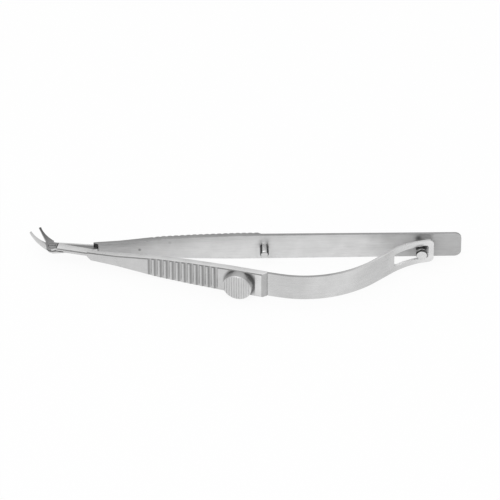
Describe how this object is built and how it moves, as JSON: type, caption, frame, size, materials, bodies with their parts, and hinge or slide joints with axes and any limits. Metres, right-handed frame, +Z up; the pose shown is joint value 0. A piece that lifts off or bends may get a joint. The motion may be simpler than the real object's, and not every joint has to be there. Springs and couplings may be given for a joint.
{
  "type": "corneal scissors",
  "caption": "Small eye-surgery scissors with two flat sprung handles squeezed together, short blades curved sideways, a round thumb rest and a slotted leaf spring.",
  "frame": {"origin": "middle of the bounding box, at its base, which is the surface that the lower edges of the handles rest on", "axes": "+X along the far handle from the blades to its free end, +Y from the near handle towards the far handle, +Z up along the pivot"},
  "size_m": [0.108, 0.0254, 0.0073],
  "materials": {
    "satin_steel": "fine satin, brushed along the handles",
    "spring_steel": "fine satin",
    "polished_steel": "polished",
    "screw_steel": "fine turned",
    "disc_steel": "satin with fine cut grooves"
  },
  "bodies": {
    "far_side": {"far_arm": "satin_steel", "pivot_screw": "screw_steel", "stop_pin": "polished_steel", "guide_stud": "polished_steel"},
    "near_side": {"near_arm": "satin_steel", "thumb_disc": "disc_steel"},
    "leaf": {"leaf_spring": "spring_steel"}
  },
  "joints": [
    {"name": "squeeze", "type": "hinge", "parent": "far_side", "child": "near_side", "pos_m": [-0.04834, 0.00471, 0.00365], "axis": [0, 0, 1], "range_deg": [0, 10.4], "stiffness_Nm_per_rad": 0.05, "springref_deg": -5.73},
    {"name": "leaf_flex", "type": "hinge", "parent": "near_side", "child": "leaf", "pos_m": [0.00553, -0.01022, 0.00365], "axis": [0, 0, 1], "range_deg": [-26, 2], "stiffness_Nm_per_rad": 0.005}
  ],
  "couplings": [
    {"joint": "leaf_flex", "follows": "squeeze", "ratio": -2.3}
  ]
}
